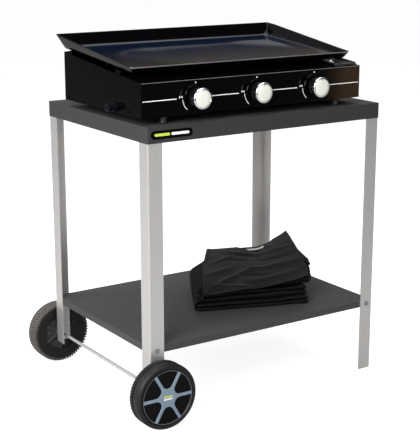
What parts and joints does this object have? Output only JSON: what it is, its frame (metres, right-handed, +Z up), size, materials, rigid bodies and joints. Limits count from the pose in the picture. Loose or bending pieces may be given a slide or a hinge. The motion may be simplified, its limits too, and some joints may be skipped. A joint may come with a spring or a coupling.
{
  "type": "flat top gas griddle on a wheeled trolley",
  "caption": "Tabletop gas flat-top griddle with knobs and a lipped enamel plate, standing on a two-shelf metal trolley with a pair of wheels and a folded cover on the lower shelf.",
  "frame": {"origin": "on the floor, under the middle of the object's bounding box", "axes": "+Z up; -Y is the front with the knobs; +X to the right as seen from the front; the wheels are at the -X end"},
  "size_m": [0.7854, 0.624, 0.9361],
  "materials": {
    "powder_grey": "matte anthracite powder coat",
    "satin_steel": "satin metallic",
    "zinc": "zinc plated",
    "axle_steel": "bright",
    "tyre": "matte",
    "wheel_grey": "matte",
    "liner": "smooth",
    "cap_black": "satin",
    "star_silver": "satin silver-blue",
    "badge": "gloss",
    "body_black": "gloss black enamel",
    "plate_enamel": "gloss black enamel",
    "foot_rubber": "matte",
    "gas_steel": "satin",
    "brass": "machined",
    "inlet_dark": "dark plated",
    "aluminium": "cast",
    "burner_steel": "satin",
    "knob_black": "gloss",
    "knob_silver": "satin silver",
    "bezel": "gloss",
    "collar_steel": "turned",
    "grease_steel": "satin",
    "cover_fabric": "woven, coated"
  },
  "bodies": {
    "trolley_and_griddle": {"top_tray": "powder_grey", "lower_shelf": "powder_grey", "leg_front_left": "satin_steel", "leg_back_left": "satin_steel", "leg_front_right": "satin_steel", "leg_back_right": "satin_steel", "tray_studs": "zinc", "shelf_bolts": "zinc", "nuts": "zinc", "axle": "axle_steel", "badge_plate": "badge", "axle_spacers": "zinc", "axle_clips": "zinc", "front_panel": "body_black", "side_panel_left": "body_black", "side_panel_right": "body_black", "back_panel": "body_black", "base_pan": "body_black", "griddle_feet": "foot_rubber", "plate_rests": "body_black", "grease_tray_guides": "body_black", "gas_manifold": "gas_steel", "gas_inlet": "inlet_dark", "gas_valve_1": "aluminium", "gas_valve_2": "aluminium", "gas_valve_3": "aluminium", "knob_bezels": "bezel", "injectors": "brass", "burner_1": "burner_steel", "burner_2": "burner_steel", "burner_3": "burner_steel", "burner_brackets": "burner_steel", "burner_rail": "burner_steel", "body_screws": "body_black", "folded_cover": "cover_fabric"},
    "front_wheel": {"tyre_front": "tyre", "wheel_centre_front": "wheel_grey", "bore_liner_front": "liner", "hub_cap_front": "cap_black", "hub_star_front": "star_silver"},
    "back_wheel": {"tyre_back": "tyre", "wheel_centre_back": "wheel_grey", "bore_liner_back": "liner", "hub_cap_back": "cap_black", "hub_star_back": "star_silver"},
    "collar_1": {"valve_collar_1": "collar_steel"},
    "knob_and_stem_1": {"valve_stem_1": "brass", "knob_1": "knob_black", "knob_face_1": "knob_silver"},
    "collar_2": {"valve_collar_2": "collar_steel"},
    "knob_and_stem_2": {"valve_stem_2": "brass", "knob_2": "knob_black", "knob_face_2": "knob_silver"},
    "collar_3": {"valve_collar_3": "collar_steel"},
    "knob_and_stem_3": {"valve_stem_3": "brass", "knob_3": "knob_black", "knob_face_3": "knob_silver"},
    "cooking_plate": {"hot_plate": "plate_enamel"},
    "grease_drawer": {"grease_tray": "grease_steel"}
  },
  "joints": [
    {"name": "front_wheel_spin", "type": "hinge", "parent": "trolley_and_griddle", "child": "front_wheel", "pos_m": [-0.30775, -0.2885, 0.085], "axis": [0, 1, 0], "continuous": true},
    {"name": "back_wheel_spin", "type": "hinge", "parent": "trolley_and_griddle", "child": "back_wheel", "pos_m": [-0.30775, 0.2885, 0.085], "axis": [0, 1, 0], "continuous": true},
    {"name": "knob_1_push", "type": "slide", "parent": "trolley_and_griddle", "child": "collar_1", "axis": [0, 1, 0], "range_m": [0, 0.004], "stiffness_N_per_m": 800, "springref_m": -0.004},
    {"name": "knob_1_turn", "type": "hinge", "parent": "collar_1", "child": "knob_and_stem_1", "pos_m": [-0.17525, -0.25, 0.807], "axis": [0, -1, 0], "range_deg": [0, 135]},
    {"name": "knob_2_push", "type": "slide", "parent": "trolley_and_griddle", "child": "collar_2", "axis": [0, 1, 0], "range_m": [0, 0.004], "stiffness_N_per_m": 800, "springref_m": -0.004},
    {"name": "knob_2_turn", "type": "hinge", "parent": "collar_2", "child": "knob_and_stem_2", "pos_m": [0.00675, -0.25, 0.807], "axis": [0, -1, 0], "range_deg": [0, 135]},
    {"name": "knob_3_push", "type": "slide", "parent": "trolley_and_griddle", "child": "collar_3", "axis": [0, 1, 0], "range_m": [0, 0.004], "stiffness_N_per_m": 800, "springref_m": -0.004},
    {"name": "knob_3_turn", "type": "hinge", "parent": "collar_3", "child": "knob_and_stem_3", "pos_m": [0.18875, -0.25, 0.807], "axis": [0, -1, 0], "range_deg": [0, 135]},
    {"name": "plate_lift", "type": "slide", "parent": "trolley_and_griddle", "child": "cooking_plate", "axis": [0, 0, 1], "range_m": [0, 0.08]},
    {"name": "grease_tray_slide", "type": "slide", "parent": "trolley_and_griddle", "child": "grease_drawer", "axis": [0, -0.9943, -0.1068], "range_m": [0, 0.065]}
  ]
}
